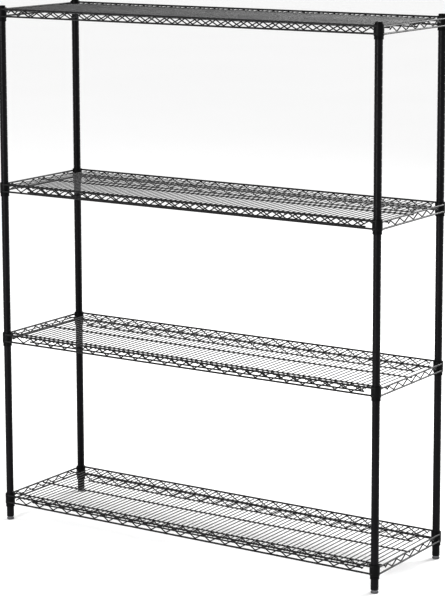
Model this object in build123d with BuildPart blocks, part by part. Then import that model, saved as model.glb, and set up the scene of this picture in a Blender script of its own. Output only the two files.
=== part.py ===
from build123d import *
from build123d import SkipClean
from math import atan2, cos
import os

# Four-post wire shelving rack with four lift-off wire shelves and levelling feet.
# Frame: origin on the floor at the middle of the footprint, +X along the shelves,
# front at -Y, +Z up. Millimetres.

# ---------------------------------------------------------------- driving dimensions
RACK_HEIGHT = 1828.8  # 72 in, from the floor to the cap tops
POST_SPACING_X = 1485.9  # between post centres along a shelf
POST_SPACING_Y = 419.1  # between post centres across a shelf
POST_DIAMETER = 25.4
POST_WALL = 1.2
GROOVE_PITCH = 25.4
SHELF_LEVELS = (89.8, 674.0, 1207.4, 1817.0)  # centre of each shelf's front top rail

RAIL_DIAMETER = 6.0
ZIGZAG_DIAMETER = 4.0
SUPPORT_DIAMETER = 5.0
DECK_DIAMETER = 3.4
DECK_PITCH = 20.0
TRUSS_PITCH = 60.0  # one full zigzag wave

# ---------------------------------------------------------------- posts
POST_RADIUS = POST_DIAMETER / 2
GROOVE_DEPTH = 0.6
GROOVE_WIDTH = 2.6
GROOVE_BELOW_LEVEL = 10.5  # from a shelf level down to the upper groove its sleeve grips
POST_BOTTOM = 11.6
CAP_HEAD = 5.4
CAP_PLUG = 11.0
CAP_ROUND = 2.4
CAP_PLUG_GAP = 0.1
CAP_PLUG_CHAMFER = 1.0
POST_TOP = RACK_HEIGHT - CAP_HEAD
TOP_GROOVE = SHELF_LEVELS[-1] - GROOVE_BELOW_LEVEL
GROOVE_COUNT = 71

# ---------------------------------------------------------------- levelling feet
PAD_RADIUS = 12.25
PAD_HEIGHT = 6.0
PAD_ROUND = 1.8
PAD_TOP_ROUND = 0.5
SOCKET_RADIUS = 4.3
SOCKET_FLOOR = 2.4
SPIGOT_RADIUS = 4.0
SPIGOT_BOTTOM = 2.7
SPIGOT_CHAMFER = 0.5
HEX_CORNER_RADIUS = 12.2
HEX_BOTTOM = 6.2
HEX_TOP = 11.4
HEX_ROUND = 0.8
THREAD_RADIUS = 5.0
STUD_TOP = 50.0
STUD_CHAMFER = 0.8
INSERT_RADIUS = 11.4
INSERT_BOTTOM = 12.4
INSERT_TOP = 26.4
INSERT_BORE = 5.08
INSERT_CHAMFER = 0.8

# ---------------------------------------------------------------- collars and sleeves
COLLAR_RADIUS = 16.8
COLLAR_ABOVE = 5.0  # above the shelf level
COLLAR_BELOW = 31.0  # below the shelf level
COLLAR_EDGE = 0.6
SLEEVE_ABOVE = -1.0
SLEEVE_BELOW = 42.0
SLEEVE_TOP_RADIUS = 13.9
SLEEVE_BOTTOM_RADIUS = 15.3
SLEEVE_LIP_RADIUS = 13.3
SLEEVE_LIP_HEIGHT = 5.0
SLEEVE_BORE = 12.9
SLEEVE_RIB_RADIUS = 12.4
SLEEVE_RIB_HALF = 0.7
SLEEVE_RIB_ROOT = 0.1  # how far a rib starts inside the sleeve's wall
SLEEVE_END = 1.0  # degrees from a half's end to the plane between the halves
SLEEVE_ARCS = 9  # a half is turned in this many arcs, so that its faces stay narrow
SEAT_GAP = 0.35  # radial room between a sleeve's cone and its collar

# ---------------------------------------------------------------- shelf wires
RAIL_RADIUS = RAIL_DIAMETER / 2
ZIGZAG_RADIUS = ZIGZAG_DIAMETER / 2
SUPPORT_RADIUS = SUPPORT_DIAMETER / 2
RAIL_OUTSET = 14.0  # outer rails stand this far outside the post centres
LONG_RAIL_DROP = 24.5  # bottom rail below top rail, front and back
SIDE_TOP_DROP = 2.8
SIDE_BOTTOM_DROP = 25.8
INNER_TRUSS_Y = 167.0
INNER_TOP_DROP = 8.1
INNER_BOTTOM_DROP = 30.0
INNER_BOTTOM_HALF = 676.0
SUPPORT_OVERHANG = 1.0  # support wires end this far outside the side rails' centres
DECK_DROP = 4.5
DECK_END_INSET = 0.8  # deck wires stop this far short of the long rails' centres
DECK_FULL_WIRES = 72
DECK_SHORT_HALF = 173.0  # the end wires beside the collars stop on the inner trusses
ZIGZAG_BEND = 6.0
LONG_HALF_WAVES = 23  # bends on each side of the middle one, along a shelf
SIDE_HALF_WAVES = 5
ZIGZAG_TAIL = TRUSS_PITCH / 4  # along the rail, after the last bend
WELD_BITE = 0.8  # how deep a zigzag bend is pressed into its rail
COPE_RADIUS = 16.3  # rails are coped to this radius around each post
COPE_HEIGHT = 124.0

RAIL_Y = POST_SPACING_Y / 2 + RAIL_OUTSET
RAIL_X = POST_SPACING_X / 2 + RAIL_OUTSET


def sleeve_radius(drop):
    """Outer radius of the sleeve's cone this far below the shelf level."""
    share = (drop + SLEEVE_ABOVE) / (SLEEVE_BELOW + SLEEVE_ABOVE)
    return SLEEVE_TOP_RADIUS + share * (SLEEVE_BOTTOM_RADIUS - SLEEVE_TOP_RADIUS)


def zigzag_points(half_waves, top, bottom):
    """Corners of a zigzag centred on 0 whose rounded bends lie at top and bottom.

    The middle bend is at the bottom, and half_waves counts the bends on each side of it.
    """
    half_pitch = TRUSS_PITCH / 2
    height = top - bottom
    for _ in range(5):
        slope = atan2(height, half_pitch)
        pullback = ZIGZAG_BEND * (1 / cos(slope) - 1)
        height = top - bottom + 2 * pullback
    middle = (top + bottom) / 2
    points = []
    for step in range(-half_waves, half_waves + 1):
        up = 1 if step % 2 else -1
        points.append((step * half_pitch, middle + up * height / 2))
    last_u, last_v = points[-1]
    end_u = last_u + ZIGZAG_TAIL
    end_v = last_v + (middle - last_v) * 2 * ZIGZAG_TAIL / half_pitch
    return [(-end_u, end_v), *points, (end_u, end_v)]


def straight_wire(start, end, radius):
    """Add a straight round wire to the part being built."""
    axis = Vector(*end) - Vector(*start)
    with BuildSketch(Plane(start, z_dir=axis)) as section:
        Circle(radius)
    extrude(section.sketch, amount=axis.length)


def bent_wire(plane, points, radius, bend):
    """Add a round wire that follows points in plane, with rounded bends."""
    with BuildLine(plane) as run:
        FilletPolyline(*points, radius=bend)
    with BuildSketch(Plane(run.line @ 0, z_dir=run.line % 0)) as section:
        Circle(radius)
    sweep(section.sketch, path=run.line)


def post_corners():
    """Locations of the four posts, the same way round everywhere."""
    return GridLocations(POST_SPACING_X, POST_SPACING_Y, 2, 2)


def cope_rails():
    """Cut the rails of the part being built where the collars take their place."""
    with post_corners():
        Cylinder(COPE_RADIUS, COPE_HEIGHT, mode=Mode.SUBTRACT)


# ---------------------------------------------------------------- post, cap and foot
def make_post():
    """Steel tube with a rolled groove every inch, on the Z axis."""
    half = GROOVE_WIDTH / 2
    grooves = [TOP_GROOVE - GROOVE_PITCH * n for n in reversed(range(GROOVE_COUNT))]
    bore = POST_RADIUS - POST_WALL
    with BuildPart() as post:
        with BuildSketch(Plane.XZ):
            with BuildLine():
                z_out, z_in = POST_BOTTOM, POST_BOTTOM
                for z in grooves:
                    Line((POST_RADIUS, z_out), (POST_RADIUS, z - half))
                    ThreePointArc(
                        (POST_RADIUS, z - half),
                        (POST_RADIUS - GROOVE_DEPTH, z),
                        (POST_RADIUS, z + half),
                    )
                    Line((bore, z_in), (bore, z - half))
                    ThreePointArc(
                        (bore, z - half), (bore - GROOVE_DEPTH, z), (bore, z + half)
                    )
                    z_out, z_in = z + half, z + half
                Line((POST_RADIUS, z_out), (POST_RADIUS, POST_TOP))
                Line((bore, z_in), (bore, POST_TOP))
                Line((bore, POST_TOP), (POST_RADIUS, POST_TOP))
                Line((bore, POST_BOTTOM), (POST_RADIUS, POST_BOTTOM))
            make_face()
        revolve(axis=Axis.Z)
    return post.part


def make_cap():
    """Moulded cap: a rounded head on the post's end and a plug in its bore."""
    bore = POST_RADIUS - POST_WALL
    with BuildPart() as cap:
        with BuildSketch(Plane.XY.offset(POST_TOP)):
            Circle(POST_RADIUS)
        extrude(amount=CAP_HEAD)
        fillet(cap.edges().group_by(Axis.Z)[-1], CAP_ROUND)
        with BuildSketch(Plane.XY.offset(POST_TOP)):
            Circle(bore - CAP_PLUG_GAP)
        extrude(amount=-CAP_PLUG)
        chamfer(cap.edges().group_by(Axis.Z)[0], CAP_PLUG_CHAMFER)
    return cap.part


def make_insert():
    """Turned plug in the post's lower end, with the levelling thread's bore."""
    with BuildPart() as insert:
        with BuildSketch(Plane.XY.offset(INSERT_BOTTOM)):
            Circle(INSERT_RADIUS)
            Circle(INSERT_BORE, mode=Mode.SUBTRACT)
        extrude(amount=INSERT_TOP - INSERT_BOTTOM)
        rim = insert.edges().group_by(Axis.Z)[-1].sort_by(SortBy.RADIUS)[-1]
        chamfer(rim, INSERT_CHAMFER)
    return insert.part


def make_stud():
    """Levelling stud: a threaded rod, a hex to turn it by and a spigot in the pad."""
    with BuildPart() as stud:
        with BuildSketch(Plane.XY.offset(HEX_BOTTOM)):
            RegularPolygon(HEX_CORNER_RADIUS, 6)
        extrude(amount=HEX_TOP - HEX_BOTTOM)
        fillet(stud.edges().filter_by(Axis.Z), HEX_ROUND)
        with BuildSketch(Plane.XY.offset(HEX_TOP)):
            Circle(THREAD_RADIUS)
        extrude(amount=STUD_TOP - HEX_TOP)
        chamfer(stud.edges().group_by(Axis.Z)[-1], STUD_CHAMFER)
        with BuildSketch(Plane.XY.offset(HEX_BOTTOM)):
            Circle(SPIGOT_RADIUS)
        extrude(amount=SPIGOT_BOTTOM - HEX_BOTTOM)
        chamfer(stud.edges().group_by(Axis.Z)[0], SPIGOT_CHAMFER)
    return stud.part


def make_pad():
    """Moulded floor pad with a socket for the stud's spigot."""
    with BuildPart() as pad:
        with BuildSketch():
            Circle(PAD_RADIUS)
        extrude(amount=PAD_HEIGHT)
        fillet(pad.edges().group_by(Axis.Z)[0], PAD_ROUND)
        fillet(pad.edges().group_by(Axis.Z)[-1], PAD_TOP_ROUND)
        with BuildSketch(Plane.XY.offset(SOCKET_FLOOR)):
            Circle(SOCKET_RADIUS)
        extrude(amount=PAD_HEIGHT, mode=Mode.SUBTRACT)
    return pad.part


# ---------------------------------------------------------------- collar and sleeve
def make_collars():
    """Four steel rings, bored to a cone, that the rails of one shelf are welded to."""
    mouth = sleeve_radius(COLLAR_BELOW) + SEAT_GAP
    throat = SLEEVE_TOP_RADIUS + SEAT_GAP
    with BuildPart() as ring:
        with BuildSketch(Plane.XZ):
            with BuildLine():
                Polyline(
                    (mouth, -COLLAR_BELOW),
                    (COLLAR_RADIUS, -COLLAR_BELOW),
                    (COLLAR_RADIUS, COLLAR_ABOVE),
                    (throat, COLLAR_ABOVE),
                    (throat, SLEEVE_ABOVE),
                    close=True,
                )
            make_face()
        revolve(axis=Axis.Z)
        outer = ring.edges().filter_by(GeomType.CIRCLE).group_by(SortBy.RADIUS)[-1]
        fillet(outer, COLLAR_EDGE)
    with BuildPart() as collars:
        with post_corners():
            add(ring.part)
    return collars.part


def make_sleeves(turn):
    """Four half sleeves of one shelf; turn 0 is the inner halves, 180 the outer ones."""
    cone_top = SLEEVE_ABOVE - SLEEVE_LIP_HEIGHT
    rib_depth = SLEEVE_BORE + SLEEVE_RIB_ROOT - SLEEVE_RIB_RADIUS
    with BuildSketch(Plane.XZ) as section:
        with BuildLine():
            Polyline(
                (SLEEVE_BORE, -SLEEVE_BELOW),
                (SLEEVE_BOTTOM_RADIUS, -SLEEVE_BELOW),
                (sleeve_radius(-cone_top), cone_top),
                (SLEEVE_LIP_RADIUS, SLEEVE_ABOVE),
                (SLEEVE_BORE, SLEEVE_ABOVE),
                close=True,
            )
        make_face()
        for groove in (GROOVE_BELOW_LEVEL, GROOVE_BELOW_LEVEL + GROOVE_PITCH):
            with Locations((SLEEVE_RIB_RADIUS + rib_depth / 2, -groove)):
                Rectangle(rib_depth, 2 * SLEEVE_RIB_HALF)
    arc = (180 - 2 * SLEEVE_END) / SLEEVE_ARCS
    with SkipClean():  # merging the arcs' faces would undo the narrow faces
        with BuildPart() as half:
            for step in range(SLEEVE_ARCS):
                start = section.sketch.rotate(Axis.Z, 90 + SLEEVE_END + arc * step)
                revolve(start, axis=Axis.Z, revolution_arc=arc, clean=False)
        with BuildPart() as sleeves:
            for side in (1, -1):
                for end in (1, -1):
                    place = (side * POST_SPACING_X / 2, end * POST_SPACING_Y / 2, 0)
                    with Locations(Location(place, (0, 0, turn + (180 if side < 0 else 0)))):
                        add(half.part, clean=False)
    return sleeves.part


# ---------------------------------------------------------------- shelf trusses
def make_long_truss(y):
    """Front or back edge of a shelf: two rails along X with a zigzag between them."""
    plane = Plane((0, y, 0), x_dir=(1, 0, 0), z_dir=(0, -1, 0))
    seat = RAIL_RADIUS + ZIGZAG_RADIUS - WELD_BITE
    half = POST_SPACING_X / 2
    with BuildPart() as rails:
        for z in (0, -LONG_RAIL_DROP):
            straight_wire((-half, y, z), (half, y, z), RAIL_RADIUS)
        cope_rails()
    with BuildPart() as zigzag:
        points = zigzag_points(LONG_HALF_WAVES, -seat, seat - LONG_RAIL_DROP)
        bent_wire(plane, points, ZIGZAG_RADIUS, ZIGZAG_BEND)
    return Compound([*rails.solids(), *zigzag.solids()])


def make_side_truss(x):
    """Left or right edge of a shelf: two rails along Y with a zigzag between them."""
    plane = Plane((x, 0, 0), x_dir=(0, 1, 0), z_dir=(1, 0, 0))
    seat = RAIL_RADIUS + ZIGZAG_RADIUS - WELD_BITE
    half = POST_SPACING_Y / 2
    with BuildPart() as rails:
        for z in (-SIDE_TOP_DROP, -SIDE_BOTTOM_DROP):
            straight_wire((x, -half, z), (x, half, z), RAIL_RADIUS)
        cope_rails()
    with BuildPart() as zigzag:
        top, bottom = -SIDE_TOP_DROP - seat, seat - SIDE_BOTTOM_DROP
        points = zigzag_points(SIDE_HALF_WAVES, top, bottom)
        bent_wire(plane, points, ZIGZAG_RADIUS, ZIGZAG_BEND)
    return Compound([*rails.solids(), *zigzag.solids()])


def make_inner_trusses():
    """The two lengthwise trusses under the deck, hung from the side rails."""
    seat = SUPPORT_RADIUS + ZIGZAG_RADIUS - WELD_BITE
    top_half = RAIL_X + SUPPORT_OVERHANG
    top, bottom = -INNER_TOP_DROP - seat, seat - INNER_BOTTOM_DROP
    with BuildPart() as rails:
        for y in (-INNER_TRUSS_Y, INNER_TRUSS_Y):
            for half, z in ((top_half, -INNER_TOP_DROP), (INNER_BOTTOM_HALF, -INNER_BOTTOM_DROP)):
                straight_wire((-half, y, z), (half, y, z), SUPPORT_RADIUS)
    with BuildPart() as zigzags:
        for y in (-INNER_TRUSS_Y, INNER_TRUSS_Y):
            plane = Plane((0, y, 0), x_dir=(1, 0, 0), z_dir=(0, -1, 0))
            points = zigzag_points(LONG_HALF_WAVES, top, bottom)
            bent_wire(plane, points, ZIGZAG_RADIUS, ZIGZAG_BEND)
    return Compound([*rails.solids(), *zigzags.solids()])


def make_deck():
    """The wires things stand on, and the lengthwise wire that ties their middles."""
    half = RAIL_X + SUPPORT_OVERHANG
    end_x = DECK_PITCH * (DECK_FULL_WIRES + 1) / 2
    with BuildPart() as wires:
        with BuildSketch(Plane.XZ):
            with Locations((0, -DECK_DROP)):
                with GridLocations(DECK_PITCH, DECK_PITCH, DECK_FULL_WIRES, 1):
                    Circle(DECK_DIAMETER / 2)
        extrude(amount=RAIL_Y - DECK_END_INSET, both=True)
        with BuildSketch(Plane.XZ):
            with Locations((-end_x, -DECK_DROP), (end_x, -DECK_DROP)):
                Circle(DECK_DIAMETER / 2)
        extrude(amount=DECK_SHORT_HALF, both=True)
    with BuildPart() as tie:
        straight_wire((-half, 0, -INNER_TOP_DROP), (half, 0, -INNER_TOP_DROP), SUPPORT_RADIUS)
    return Compound([*wires.solids(), *tie.solids()])


# ---------------------------------------------------------------- write the pieces
os.makedirs("parts", exist_ok=True)

corner_pieces = {
    "post": make_post(),
    "cap": make_cap(),
    "foot_insert": make_insert(),
    "foot_stud": make_stud(),
    "foot_pad": make_pad(),
}
corners = {
    "front_left": (-1, -1),
    "front_right": (1, -1),
    "back_left": (-1, 1),
    "back_right": (1, 1),
}
for corner, (side, end) in corners.items():
    for name, piece in corner_pieces.items():
        placed = piece.moved(Location((side * POST_SPACING_X / 2, end * POST_SPACING_Y / 2, 0)))
        placed.label = f"{corner}_{name}"
        export_step(placed, f"parts/{placed.label}.step")

shelf_pieces = {
    "front_truss": make_long_truss(-RAIL_Y),
    "back_truss": make_long_truss(RAIL_Y),
    "left_truss": make_side_truss(-RAIL_X),
    "right_truss": make_side_truss(RAIL_X),
    "inner_trusses": make_inner_trusses(),
    "deck_wires": make_deck(),
    "collars": make_collars(),
    "sleeves_inner": make_sleeves(0),
    "sleeves_outer": make_sleeves(180),
}
for number, level in enumerate(SHELF_LEVELS, start=1):
    for name, piece in shelf_pieces.items():
        placed = piece.moved(Location((0, 0, level)))
        placed.label = f"shelf_{number}_{name}"
        export_step(placed, f"parts/{placed.label}.step")
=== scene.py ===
"""Looks for the wire shelving rack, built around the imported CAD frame. Metres, +Z up."""

import math

import bpy
from mathutils import Matrix, Vector


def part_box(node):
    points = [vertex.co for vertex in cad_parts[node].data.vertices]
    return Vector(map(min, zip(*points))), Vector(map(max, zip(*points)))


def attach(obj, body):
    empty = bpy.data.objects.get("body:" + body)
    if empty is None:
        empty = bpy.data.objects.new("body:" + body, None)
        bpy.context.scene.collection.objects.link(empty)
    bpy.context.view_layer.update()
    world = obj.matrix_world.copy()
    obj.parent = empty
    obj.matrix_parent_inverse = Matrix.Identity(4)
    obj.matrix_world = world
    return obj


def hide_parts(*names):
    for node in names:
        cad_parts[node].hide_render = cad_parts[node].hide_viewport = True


# ---------------------------------------------------------------- frame and sizes
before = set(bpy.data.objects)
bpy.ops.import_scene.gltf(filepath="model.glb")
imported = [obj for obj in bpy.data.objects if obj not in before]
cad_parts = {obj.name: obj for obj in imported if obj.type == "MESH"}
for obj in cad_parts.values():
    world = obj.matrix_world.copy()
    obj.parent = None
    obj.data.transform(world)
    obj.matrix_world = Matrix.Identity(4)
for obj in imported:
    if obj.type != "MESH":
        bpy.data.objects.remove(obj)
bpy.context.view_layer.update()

MM = 0.001
CORNERS = ("front_left", "front_right", "back_left", "back_right")
SHELVES = (1, 2, 3, 4)

RAIL_R = 3.0 * MM
ZIGZAG_R = 2.0 * MM
SUPPORT_R = 2.5 * MM
DECK_R = 1.7 * MM
DECK_PITCH = 20 * MM
WAVE = 60 * MM  # one full zigzag wave
BEND_R = 6 * MM
WELD_BITE = 0.8 * MM
POST_R = 12.7 * MM
POST_WALL = 1.2 * MM
GROOVE_PITCH = 25.4 * MM
GROOVE_DEPTH = 0.6 * MM
GROOVE_WIDTH = 2.6 * MM
COLLAR_R = 16.8 * MM
CUT_EDGE = 0.35 * MM  # small broken edge on every cut wire end
SHARP_EDGE = math.radians(38)  # steeper edges than this are shaded sharp
X_AXIS, Y_AXIS, Z_AXIS = Vector((1, 0, 0)), Vector((0, 1, 0)), Vector((0, 0, 1))

# Posts. Drops are measured down from the centre of a shelf's front top rail.
POST_EDGE = 0.25 * MM
POST_SIDES = 36
TOP_GROOVE_DROP = 10.5 * MM
LOWEST_GROOVE = 12 * MM  # no groove is nearer a post's lower end than this

# Levelling studs
SPIGOT_R = 4.0 * MM
SPIGOT_EDGE = 0.5 * MM
HEX_BOTTOM, HEX_TOP = 3.5 * MM, 8.7 * MM
HEX_CORNER_R = 12.2 * MM
HEX_FLAT_R = HEX_CORNER_R * math.cos(math.pi / 6)
HEX_ROUND = 0.25 * MM
HEX_END_R = HEX_FLAT_R + 0.2 * MM
HEX_CHAMFER = 0.54 * MM
THREAD_R = 5.0 * MM
THREAD_PITCH = 1.5 * MM
THREAD_DEPTH = 0.75 * MM
THREAD_ROWS = 6  # rows of vertices to one pitch
THREAD_RUN_IN = 0.6 * MM  # plain length next to the hex
THREAD_RUN_OUT = 1.0 * MM  # the thread stops this far below the upper end
THREAD_END = 0.8 * MM  # the taper starts this far below it
THREAD_LEAD = 0.6 * MM  # taper of the upper end
STUD_SIDES = 48

# Trusses and deck
RAIL_OUTSET = 14 * MM
LONG_RAIL_DROP = 24.5 * MM
SIDE_TOP_DROP = 2.8 * MM
SIDE_BOTTOM_DROP = 25.8 * MM
INNER_TOP_DROP = 8.1 * MM
INNER_BOTTOM_DROP = 30.0 * MM
INNER_BOTTOM_HALF = 676 * MM
INNER_Y = 167 * MM
LONG_HALF_WAVES = 23  # zigzag bends on each side of the middle one
SIDE_HALF_WAVES = 5
ZIGZAG_TAIL = WAVE / 4  # run beyond the last bend
LENGTHWISE_LAP = 1.0 * MM  # inner wires pass the side rails' centres by this
DECK_DROP = 4.5 * MM
DECK_END_INSET = 0.8 * MM
DECK_FULL_WIRES = 72
DECK_SHORT_HALF = 173 * MM
COPE_R = 16.3 * MM  # rails are cut to this radius around each post
COPE_REACH = 16 * MM  # how far along a rail the cut can be felt
COPE_STEPS = 10
WIRE_SIDES, RAIL_SIDES = 12, 16

# Collars and their weld beads
COLLAR_RISE = 5.0 * MM
COLLAR_DROP = 31.0 * MM
COLLAR_MOUTH_R = 15.28 * MM
COLLAR_THROAT_R = 14.25 * MM
COLLAR_THROAT_DROP = 1.0 * MM
COLLAR_ROUND = 1.0 * MM
COLLAR_ROUND_STEPS = 4
COLLAR_SIDES = 48
BEAD_ALONG, BEAD_ACROSS = 9.8 * MM, 14.7 * MM  # from the post's axis
BEAD_LONG, BEAD_THICK, BEAD_TALL = 4.6 * MM, 1.9 * MM, 3.1 * MM

# Split sleeves
SLEEVE_BORE_R = 12.9 * MM
SLEEVE_RIB_R = 12.4 * MM
SLEEVE_RIB_HALF = 0.7 * MM
SLEEVE_RIB_SLOPE = 0.2 * MM
SLEEVE_BOTTOM_DROP = 42 * MM
SLEEVE_CONE_TOP_DROP = 6 * MM
SLEEVE_TOP_DROP = 1 * MM
SLEEVE_FOOT_R = 15.3 * MM
SLEEVE_FOOT_EDGE = 0.3 * MM
SLEEVE_HEAD_R = 14.07 * MM
SLEEVE_LIP_R = 13.3 * MM
SEAM_HALF_ANGLE = math.radians(1.1)
SLEEVE_STEPS = 24


def node_centre(node):
    low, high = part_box(node)
    return (low + high) / 2


POSTS = {c: node_centre(f"{c}_post") for c in CORNERS}
POST_X = POSTS["front_right"].x
POST_Y = POSTS["back_right"].y
RAIL_X = POST_X + RAIL_OUTSET
RAIL_Y = POST_Y + RAIL_OUTSET
LENGTHWISE_HALF = RAIL_X + LENGTHWISE_LAP


# ---------------------------------------------------------------- mesh building
def around(centre, radius, angle, z):
    """The point at that radius and angle from the Z line through centre."""
    x = centre.x + radius * math.cos(angle)
    y = centre.y + radius * math.sin(angle)
    return Vector((x, y, z))


class Skin:
    """Collects vertices and faces of round wires and turned forms, then makes one mesh."""

    def __init__(self):
        self.verts = []
        self.faces = []

    def ring(self, centre, across, up, radius, sides):
        first = len(self.verts)
        for i in range(sides):
            a = 2 * math.pi * i / sides
            offset = across * (radius * math.cos(a)) + up * (radius * math.sin(a))
            self.verts.append(centre + offset)
        return first

    def bridge(self, a, b, sides):
        for i in range(sides):
            j = (i + 1) % sides
            self.faces.append((a + i, a + j, b + j, b + i))

    def lid(self, first, sides, flip):
        order = range(first, first + sides)
        self.faces.append(tuple(reversed(order)) if flip else tuple(order))

    def wire(self, points, radius, side_axis, sides=WIRE_SIDES):
        """A round wire along points that lie in the plane square to side_axis."""
        count = len(points)
        rings = []
        for i, point in enumerate(points):
            before = points[max(i - 1, 0)]
            after = points[min(i + 1, count - 1)]
            along = (after - before).normalized()
            up = along.cross(side_axis).normalized()
            if i == 0:
                rings.append(self.ring(point, side_axis, up, radius - CUT_EDGE, sides))
                rings.append(self.ring(point + along * CUT_EDGE, side_axis, up, radius, sides))
            elif i == count - 1:
                rings.append(self.ring(point - along * CUT_EDGE, side_axis, up, radius, sides))
                rings.append(self.ring(point, side_axis, up, radius - CUT_EDGE, sides))
            else:
                rings.append(self.ring(point, side_axis, up, radius, sides))
        for a, b in zip(rings, rings[1:]):
            self.bridge(a, b, sides)
        self.lid(rings[0], sides, flip=True)
        self.lid(rings[-1], sides, flip=False)

    def cope(self, radius):
        """Push every vertex that is nearer a post's axis than radius straight out to it."""
        for vertex in self.verts:
            for centre in POSTS.values():
                out = Vector((vertex.x - centre.x, vertex.y - centre.y))
                if out.length < radius:
                    out = out.normalized() * radius
                    vertex.x, vertex.y = centre.x + out.x, centre.y + out.y

    def turned(self, profile, centre, sides):
        """A hollow form turned about the Z line through centre, from (radius, z) pairs."""
        rings = []
        for r, z in profile:
            rings.append(self.ring(Vector((centre.x, centre.y, z)), X_AXIS, Y_AXIS, r, sides))
        for a, b in zip(rings, [*rings[1:], rings[0]]):
            self.bridge(a, b, sides)

    def part_turned(self, profile, centre, start, sweep, steps):
        """As turned, but only from angle start through sweep, with flat ends."""
        columns = []
        for k in range(steps + 1):
            a = start + sweep * k / steps
            columns.append(len(self.verts))
            for r, z in profile:
                self.verts.append(around(centre, r, a, z))
        count = len(profile)
        for a, b in zip(columns, columns[1:]):
            for i in range(count):
                j = (i + 1) % count
                self.faces.append((a + i, b + i, b + j, a + j))
        self.faces.append(tuple(range(columns[0], columns[0] + count)))
        self.faces.append(tuple(reversed(range(columns[-1], columns[-1] + count))))

    def shaped(self, rows, centre, sides):
        """A solid form about the Z line through centre; rows are (z, radius at an angle)."""
        rings = []
        for z, radius_at in rows:
            rings.append(len(self.verts))
            for i in range(sides):
                a = 2 * math.pi * i / sides
                self.verts.append(around(centre, radius_at(a), a, z))
        for a, b in zip(rings, rings[1:]):
            self.bridge(a, b, sides)
        self.lid(rings[0], sides, flip=True)
        self.lid(rings[-1], sides, flip=False)

    def blob(self, centre, size, sides=10, rings=6):
        """A weld bead: a small rounded lump with half sizes in size."""
        previous = None
        for k in range(1, rings):
            t = math.pi * k / rings
            first = len(self.verts)
            for i in range(sides):
                a = 2 * math.pi * i / sides
                offset = (math.sin(t) * math.cos(a), math.sin(t) * math.sin(a), -math.cos(t))
                self.verts.append(centre + Vector([o * s for o, s in zip(offset, size)]))
            if previous is None:
                self.lid(first, sides, flip=True)
            else:
                self.bridge(previous, first, sides)
            previous = first
        self.lid(previous, sides, flip=False)

    def make(self, name, body, nodes, material):
        mesh = bpy.data.meshes.new(name)
        mesh.from_pydata(self.verts, [], self.faces)
        mesh.validate()
        mesh.shade_smooth()
        mesh.set_sharp_from_angle(angle=SHARP_EDGE)
        mesh.materials.append(material)
        piece = bpy.data.objects.new(name, mesh)
        bpy.context.scene.collection.objects.link(piece)
        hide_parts(*nodes)
        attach(piece, body)
        return piece


# ---------------------------------------------------------------- procedural materials
GRAIN_SHARE = 0.3  # height of the fine grain beside the orange peel
PLASTIC_SPECULAR = 0.06
TURNING_SCALE = (40, 40, 2600)  # turning marks run round the axis, close together along it


def new_material(name):
    material = bpy.data.materials.new(name)
    material.use_nodes = True
    tree = material.node_tree
    shader = tree.nodes["Principled BSDF"]
    place = tree.nodes.new("ShaderNodeTexCoord").outputs["Object"]
    return material, tree, shader, place


def noise(tree, place, scale, detail=2.0, roughness=0.5):
    node = tree.nodes.new("ShaderNodeTexNoise")
    node.inputs["Scale"].default_value = scale
    node.inputs["Detail"].default_value = detail
    node.inputs["Roughness"].default_value = roughness
    tree.links.new(place, node.inputs["Vector"])
    return node.outputs["Fac"]


def spread(tree, value, low, high, from_low=0.3, from_high=0.7):
    node = tree.nodes.new("ShaderNodeMapRange")
    limits = {"From Min": from_low, "From Max": from_high, "To Min": low, "To Max": high}
    for key, number in limits.items():
        node.inputs[key].default_value = number
    tree.links.new(value, node.inputs["Value"])
    return node.outputs["Result"]


def tint(tree, value, dark, light):
    node = tree.nodes.new("ShaderNodeMix")
    node.data_type = "RGBA"
    node.inputs["A"].default_value = (*dark, 1)
    node.inputs["B"].default_value = (*light, 1)
    tree.links.new(value, node.inputs["Factor"])
    return node.outputs["Result"]


def relief(tree, shader, height, strength, distance):
    node = tree.nodes.new("ShaderNodeBump")
    node.inputs["Strength"].default_value = strength
    node.inputs["Distance"].default_value = distance
    tree.links.new(height, node.inputs["Height"])
    tree.links.new(node.outputs["Normal"], shader.inputs["Normal"])


def powder_coat(name, dark, light, gloss_low, gloss_high, specular):
    """Baked powder coat: near-black, fine orange peel, patches of slightly different gloss."""
    material, tree, shader, place = new_material(name)
    patches = noise(tree, place, scale=9.0, detail=3.0)
    peel = noise(tree, place, scale=620.0)
    grain = noise(tree, place, scale=2400.0, detail=1.0)
    tree.links.new(tint(tree, spread(tree, patches, 0, 1), dark, light), shader.inputs["Base Color"])
    tree.links.new(spread(tree, patches, gloss_low, gloss_high), shader.inputs["Roughness"])
    both = tree.nodes.new("ShaderNodeMath")
    both.operation = "MULTIPLY_ADD"
    both.inputs[1].default_value = GRAIN_SHARE
    tree.links.new(grain, both.inputs[0])
    tree.links.new(peel, both.inputs[2])
    relief(tree, shader, both.outputs[0], strength=0.35, distance=0.00012)
    shader.inputs["Specular IOR Level"].default_value = specular
    return material


def moulded_plastic(name, dark, light, gloss_low, gloss_high):
    """Injection-moulded black plastic with a fine spark-eroded texture."""
    material, tree, shader, place = new_material(name)
    mottled = noise(tree, place, scale=60.0, detail=3.0)
    texture = noise(tree, place, scale=3200.0, roughness=0.7)
    tree.links.new(tint(tree, spread(tree, mottled, 0, 1), dark, light), shader.inputs["Base Color"])
    tree.links.new(spread(tree, mottled, gloss_low, gloss_high), shader.inputs["Roughness"])
    relief(tree, shader, texture, strength=0.3, distance=0.00008)
    shader.inputs["Specular IOR Level"].default_value = PLASTIC_SPECULAR
    return material


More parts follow.
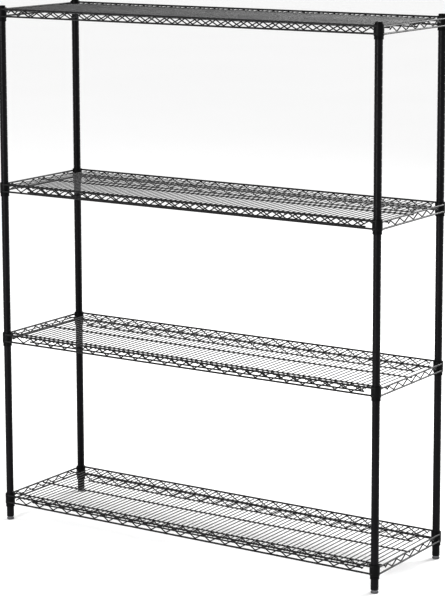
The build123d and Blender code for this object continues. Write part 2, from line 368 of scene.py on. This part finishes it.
def zinc_plate(name, dark, light, gloss_low, gloss_high):
    """Bright zinc plate: metallic, faintly mottled, with fine turning marks."""
    material, tree, shader, place = new_material(name)
    mottled = noise(tree, place, scale=240.0, detail=4.0)
    stretch = tree.nodes.new("ShaderNodeMapping")
    stretch.inputs["Scale"].default_value = TURNING_SCALE
    tree.links.new(place, stretch.inputs["Vector"])
    marks = noise(tree, stretch.outputs["Vector"], scale=1.0)
    tree.links.new(tint(tree, spread(tree, mottled, 0, 1), dark, light), shader.inputs["Base Color"])
    tree.links.new(spread(tree, mottled, gloss_low, gloss_high), shader.inputs["Roughness"])
    relief(tree, shader, marks, strength=0.25, distance=0.00005)
    shader.inputs["Metallic"].default_value = 1.0
    return material


# Each: name, darker and lighter colour, lowest and highest roughness (and specular level)
POST_COAT = powder_coat(
    "post_powder_coat", (0.0030, 0.0028, 0.0034), (0.0060, 0.0055, 0.0068), 0.32, 0.42, 0.10
)
WIRE_COAT = powder_coat(
    "wire_powder_coat", (0.0030, 0.0030, 0.0032), (0.0060, 0.0058, 0.0066), 0.34, 0.46, 0.24
)
COLLAR_COAT = powder_coat(
    "collar_powder_coat", (0.0028, 0.0028, 0.0030), (0.0055, 0.0055, 0.0060), 0.34, 0.46, 0.07
)
CAP_PLASTIC = moulded_plastic(
    "cap_plastic", (0.0030, 0.0030, 0.0032), (0.0055, 0.0055, 0.0060), 0.42, 0.55
)
SLEEVE_PLASTIC = moulded_plastic(
    "sleeve_plastic", (0.0025, 0.0025, 0.0028), (0.0045, 0.0045, 0.0050), 0.45, 0.60
)
PAD_PLASTIC = moulded_plastic(
    "pad_plastic", (0.075, 0.075, 0.078), (0.110, 0.110, 0.114), 0.50, 0.66
)
STUD_ZINC = zinc_plate("stud_zinc", (0.15, 0.15, 0.16), (0.22, 0.22, 0.23), 0.22, 0.36)
INSERT_STEEL = zinc_plate("insert_steel", (0.30, 0.30, 0.31), (0.44, 0.44, 0.45), 0.32, 0.46)


# ---------------------------------------------------------------- posts, caps and feet
def arc_dip(radius, z, steps=6):
    """Profile points of one rolled groove: a shallow circular dip centred on height z."""
    half = GROOVE_WIDTH / 2
    bow = (half * half + GROOVE_DEPTH * GROOVE_DEPTH) / (2 * GROOVE_DEPTH)
    points = []
    for k in range(steps + 1):
        u = half * (2 * k / steps - 1)
        points.append((radius - math.sqrt(bow * bow - u * u) + bow - GROOVE_DEPTH, z + u))
    return points


def post(corner):
    low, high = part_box(f"{corner}_post")
    top_groove = shelf_level(4) - TOP_GROOVE_DROP
    grooves = []
    while top_groove - GROOVE_PITCH * len(grooves) > low.z + LOWEST_GROOVE:
        grooves.append(top_groove - GROOVE_PITCH * len(grooves))
    grooves.reverse()
    outer = [(POST_R - POST_EDGE, low.z), (POST_R, low.z + POST_EDGE)]
    inner = [(POST_R - POST_WALL, low.z)]
    for z in grooves:
        outer += arc_dip(POST_R, z)
        inner += arc_dip(POST_R - POST_WALL, z, steps=4)
    outer += [(POST_R, high.z - POST_EDGE), (POST_R - POST_EDGE, high.z)]
    inner += [(POST_R - POST_WALL, high.z)]
    skin = Skin()
    skin.turned([*outer, *reversed(inner)], POSTS[corner], POST_SIDES)
    skin.make(f"{corner}_post_tube", "frame", [f"{corner}_post"], POST_COAT)


def foot_stud(corner):
    """Hex, spigot and a real helical thread, so the foot looks right when screwed out."""
    low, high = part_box(f"{corner}_foot_stud")
    hex_bottom, hex_top = low.z + HEX_BOTTOM, low.z + HEX_TOP
    root_r = THREAD_R - THREAD_DEPTH

    def plain(r):
        return lambda a: r

    def hexagon(most):
        def radius(a):
            off = (a % (math.pi / 3)) - math.pi / 6
            return min(HEX_FLAT_R / math.cos(off), most)

        return radius

    def thread(z):
        def radius(a):
            phase = (z / THREAD_PITCH - a / (2 * math.pi)) % 1.0
            return THREAD_R - THREAD_DEPTH * abs(2 * phase - 1)

        return radius

    rows = [
        (low.z, plain(SPIGOT_R - SPIGOT_EDGE)),
        (low.z + SPIGOT_EDGE, plain(SPIGOT_R)),
        (hex_bottom, plain(SPIGOT_R)),
        (hex_bottom, hexagon(HEX_END_R)),
        (hex_bottom + HEX_CHAMFER, hexagon(HEX_CORNER_R - HEX_ROUND)),
        (hex_top - HEX_CHAMFER, hexagon(HEX_CORNER_R - HEX_ROUND)),
        (hex_top, hexagon(HEX_END_R)),
        (hex_top, plain(root_r)),
    ]
    z = hex_top + THREAD_RUN_IN
    while z < high.z - THREAD_RUN_OUT:
        rows.append((z, thread(z)))
        z += THREAD_PITCH / THREAD_ROWS
    rows += [(high.z - THREAD_END, plain(root_r)), (high.z, plain(root_r - THREAD_LEAD))]
    skin = Skin()
    skin.shaped(rows, POSTS[corner], STUD_SIDES)
    name = f"{corner}_foot_stud"
    skin.make(f"{name}_threaded", f"{corner}_stud", [name], STUD_ZINC)


# ---------------------------------------------------------------- shelf pieces
def shelf_level(number):
    """Height of the centre of the front top rail, from the flat tops of the collars."""
    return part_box(f"shelf_{number}_collars")[1].z - COLLAR_RISE


def zigzag_corners(half_waves, top, bottom, tail):
    """Corners, along and up, of a zigzag whose rounded bends lie at top and bottom."""
    half_pitch = WAVE / 2
    height = top - bottom
    for _ in range(5):
        slope = math.atan2(height, half_pitch)
        height = top - bottom + 2 * BEND_R * (1 / math.cos(slope) - 1)
    middle = (top + bottom) / 2
    corners = []
    for step in range(-half_waves, half_waves + 1):
        up = 1 if step % 2 else -1
        corners.append((step * half_pitch, middle + up * height / 2))
    along, level = corners[-1]
    tail_level = level + (middle - level) * 2 * tail / half_pitch
    return [(-along - tail, tail_level), *corners, (along + tail, tail_level)]


def rounded(corners, radius, steps=6):
    """The same run with each inner corner replaced by an arc of that radius."""
    points = [corners[0]]
    for before, corner, after in zip(corners, corners[1:], corners[2:]):
        into = Vector((corner[0] - before[0], corner[1] - before[1])).normalized()
        out = Vector((after[0] - corner[0], after[1] - corner[1])).normalized()
        turn = into.angle(out)
        setback = radius * math.tan(turn / 2)
        side = 1 if into.x * out.y - into.y * out.x > 0 else -1
        start = Vector(corner) - into * setback
        centre = start + Vector((-into.y, into.x)) * (side * radius)
        first = math.atan2(start.y - centre.y, start.x - centre.x)
        for k in range(steps + 1):
            a = first + side * turn * k / steps
            points.append((centre.x + radius * math.cos(a), centre.y + radius * math.sin(a)))
    points.append(corners[-1])
    return points


def truss(skin, origin, along, half, levels, wire_r, half_waves, bottom_half=None):
    """Top wire, bottom wire and the zigzag between them, in the plane of along and Z."""
    side = along.cross(Z_AXIS)
    top, bottom = levels
    for z, reach in ((top, half), (bottom, bottom_half or half)):
        steps = [reach - COPE_REACH * k / COPE_STEPS for k in range(COPE_STEPS + 1)]
        stops = [-u for u in steps] + list(reversed(steps))
        skin.wire([origin + along * u + Z_AXIS * z for u in stops], wire_r, side, RAIL_SIDES)
    seat = wire_r + ZIGZAG_R - WELD_BITE
    corners = zigzag_corners(half_waves, top - seat, bottom + seat, ZIGZAG_TAIL)
    run = [origin + along * u + Z_AXIS * v for u, v in rounded(corners, BEND_R)]
    skin.wire(run, ZIGZAG_R, side)


def edge_truss(number, side_name, origin, along, half, levels, half_waves):
    skin = Skin()
    truss(skin, origin, along, half, levels, RAIL_R, half_waves)
    skin.cope(COPE_R)
    node = f"shelf_{number}_{side_name}_truss"
    skin.make(f"{node}_wires", f"shelf_{number}", [node], WIRE_COAT)


def inner_trusses(number, level):
    skin = Skin()
    levels = (level - INNER_TOP_DROP, level - INNER_BOTTOM_DROP)
    for y in (-INNER_Y, INNER_Y):
        origin = Vector((0, y, 0))
        waves = LONG_HALF_WAVES
        truss(skin, origin, X_AXIS, LENGTHWISE_HALF, levels, SUPPORT_R, waves, INNER_BOTTOM_HALF)
    node = f"shelf_{number}_inner_trusses"
    skin.make(f"{node}_wires", f"shelf_{number}", [node], WIRE_COAT)


def deck(number, level):
    skin = Skin()
    z = level - DECK_DROP
    last = (DECK_FULL_WIRES + 1) / 2 * DECK_PITCH
    places = [(k - (DECK_FULL_WIRES - 1) / 2) * DECK_PITCH for k in range(DECK_FULL_WIRES)]
    runs = [(x, RAIL_Y - DECK_END_INSET) for x in places]
    runs += [(-last, DECK_SHORT_HALF), (last, DECK_SHORT_HALF)]
    for x, reach in runs:
        skin.wire([Vector((x, -reach, z)), Vector((x, reach, z))], DECK_R, X_AXIS)
    ends = [Vector((x, 0, level - INNER_TOP_DROP)) for x in (-LENGTHWISE_HALF, LENGTHWISE_HALF)]
    skin.wire(ends, SUPPORT_R, Y_AXIS, RAIL_SIDES)
    node = f"shelf_{number}_deck_wires"
    skin.make(f"{node}_drawn", f"shelf_{number}", [node], WIRE_COAT)


def collars(number, level):
    """Bored rings with rounded edges, and the weld beads that hold the rails to them."""
    top, bottom = level + COLLAR_RISE, level - COLLAR_DROP
    turns = [math.pi / 2 * k / COLLAR_ROUND_STEPS for k in range(COLLAR_ROUND_STEPS + 1)]
    outer = [(COLLAR_MOUTH_R, bottom)]
    for a in turns:
        inset, rise = COLLAR_ROUND * (1 - math.sin(a)), COLLAR_ROUND * (1 - math.cos(a))
        outer.append((COLLAR_R - inset, bottom + rise))
    for a in turns:
        inset, drop = COLLAR_ROUND * (1 - math.cos(a)), COLLAR_ROUND * (1 - math.sin(a))
        outer.append((COLLAR_R - inset, top - drop))
    profile = [*outer, (COLLAR_THROAT_R, top), (COLLAR_THROAT_R, level - COLLAR_THROAT_DROP)]
    skin = Skin()
    for centre in POSTS.values():
        skin.turned(profile, centre, COLLAR_SIDES)
        toward_x = -1 if centre.x > 0 else 1
        toward_y = -1 if centre.y > 0 else 1
        for drop in (0.0, LONG_RAIL_DROP):
            x = centre.x + toward_x * BEAD_ALONG
            y = centre.y - toward_y * BEAD_ACROSS
            skin.blob(Vector((x, y, level - drop)), (BEAD_LONG, BEAD_THICK, BEAD_TALL))
        for drop in (SIDE_TOP_DROP, SIDE_BOTTOM_DROP):
            x = centre.x - toward_x * BEAD_ACROSS
            y = centre.y + toward_y * BEAD_ALONG
            skin.blob(Vector((x, y, level - drop)), (BEAD_THICK, BEAD_LONG, BEAD_TALL))
    node = f"shelf_{number}_collars"
    skin.make(f"{node}_rings", f"shelf_{number}", [node], COLLAR_COAT)


def sleeves(number, level, half_name):
    """Half sleeves: a cone outside, ribs in the post's grooves inside, a thin seam between."""
    bottom, top = level - SLEEVE_BOTTOM_DROP, level - SLEEVE_TOP_DROP
    bore, rib_r, rib, slope = SLEEVE_BORE_R, SLEEVE_RIB_R, SLEEVE_RIB_HALF, SLEEVE_RIB_SLOPE
    cone = [
        (SLEEVE_FOOT_R - SLEEVE_FOOT_EDGE, bottom),
        (SLEEVE_FOOT_R, bottom + SLEEVE_FOOT_EDGE),
        (SLEEVE_HEAD_R, level - SLEEVE_CONE_TOP_DROP),
        (SLEEVE_LIP_R, top),
    ]
    inside = []
    for groove in (TOP_GROOVE_DROP, TOP_GROOVE_DROP + GROOVE_PITCH):
        z = level - groove
        inside += [(bore, z + rib), (rib_r, z + rib - slope)]
        inside += [(rib_r, z - rib + slope), (bore, z - rib)]
    profile = [(bore, bottom), *cone, (bore, top), *inside]
    sweep = math.pi - 2 * SEAM_HALF_ANGLE
    skin = Skin()
    for centre in POSTS.values():
        faces_centre = (half_name == "inner") == (centre.x > 0)
        start = math.pi / 2 if faces_centre else -math.pi / 2
        skin.part_turned(profile, centre, start + SEAM_HALF_ANGLE, sweep, SLEEVE_STEPS)
    node = f"shelf_{number}_sleeves_{half_name}"
    skin.make(f"{node}_shells", "frame", [node], SLEEVE_PLASTIC)


def dress(node, material):
    """Give a kept CAD node its material."""
    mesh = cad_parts[node].data
    mesh.materials.clear()
    mesh.materials.append(material)


for corner in CORNERS:
    post(corner)
    foot_stud(corner)
    dress(f"{corner}_cap", CAP_PLASTIC)
    dress(f"{corner}_foot_pad", PAD_PLASTIC)
    dress(f"{corner}_foot_insert", INSERT_STEEL)

for number in SHELVES:
    level = shelf_level(number)
    long_levels = (level, level - LONG_RAIL_DROP)
    side_levels = (level - SIDE_TOP_DROP, level - SIDE_BOTTOM_DROP)
    for name, y in (("front", -RAIL_Y), ("back", RAIL_Y)):
        origin = Vector((0, y, 0))
        edge_truss(number, name, origin, X_AXIS, POST_X, long_levels, LONG_HALF_WAVES)
    for name, x in (("left", -RAIL_X), ("right", RAIL_X)):
        origin = Vector((x, 0, 0))
        edge_truss(number, name, origin, Y_AXIS, POST_Y, side_levels, SIDE_HALF_WAVES)
    inner_trusses(number, level)
    deck(number, level)
    collars(number, level)
    sleeves(number, level, "inner")
    sleeves(number, level, "outer")


# ---------------------------------------------------------------- floor, light and camera
def floor():
    bpy.ops.mesh.primitive_plane_add(size=60, location=(0, 0, 0))
    plane = bpy.context.object
    plane.name = "floor"
    material, tree, shader, place = new_material("pale_floor")
    shade = tint(tree, noise(tree, place, scale=0.6), (0.93, 0.93, 0.93), (0.95, 0.95, 0.95))
    tree.links.new(shade, shader.inputs["Base Color"])
    shader.inputs["Roughness"].default_value = 0.8
    plane.data.materials.append(material)


def soft_light(name, place, target, size, power):
    data = bpy.data.lights.new(name, "AREA")
    data.shape = "RECTANGLE"
    data.size, data.size_y = size
    data.energy = power
    lamp = bpy.data.objects.new(name, data)
    lamp.location = place
    lamp.rotation_euler = (Vector(target) - Vector(place)).to_track_quat("-Z", "Y").to_euler()
    bpy.context.scene.collection.objects.link(lamp)


def camera():
    """The viewpoint: at the right front, looking slightly down, with a small lens shift."""
    place = Vector((4.0724, -6.1659, 2.3280))
    yaw, pitch, roll = 0.5806, -0.1499, -0.0027
    level = math.cos(pitch)
    ahead = Vector((-math.sin(yaw) * level, math.cos(yaw) * level, math.sin(pitch)))
    data = bpy.data.cameras.new("camera")
    data.sensor_width = 36.0
    data.lens = 132.58
    data.shift_y = -0.18
    data.clip_start, data.clip_end = 0.1, 100
    eye = bpy.data.objects.new("camera", data)
    turn = ahead.to_track_quat("-Z", "Y").to_matrix().to_4x4()
    eye.matrix_world = Matrix.Translation(place) @ turn @ Matrix.Rotation(roll, 4, "Z")
    bpy.context.scene.collection.objects.link(eye)
    bpy.context.scene.camera = eye


def studio():
    """Even white surroundings, a tall soft panel in front, softboxes at the left and behind."""
    world = bpy.data.worlds.new("studio")
    world.use_nodes = True
    sky = world.node_tree.nodes["Background"]
    sky.inputs["Color"].default_value = (1, 1, 1, 1)
    sky.inputs["Strength"].default_value = 1.0
    bpy.context.scene.world = world
    bpy.context.scene.view_settings.view_transform = "Standard"
    bpy.context.scene.view_settings.gamma = 0.85
    middle, upper_deck = (0, 0, 0.9), (0, 0, 1.7)
    soft_light("front_panel", (-0.6, -8.5, 1.9), middle, size=(0.9, 3.4), power=560)
    soft_light("left_softbox", (-4.5, -1.0, 4.5), middle, size=(1.5, 1.5), power=30)
    soft_light("back_softbox", (2.6, 5.6, 3.2), upper_deck, size=(4.0, 1.6), power=480)


floor()
studio()
camera()
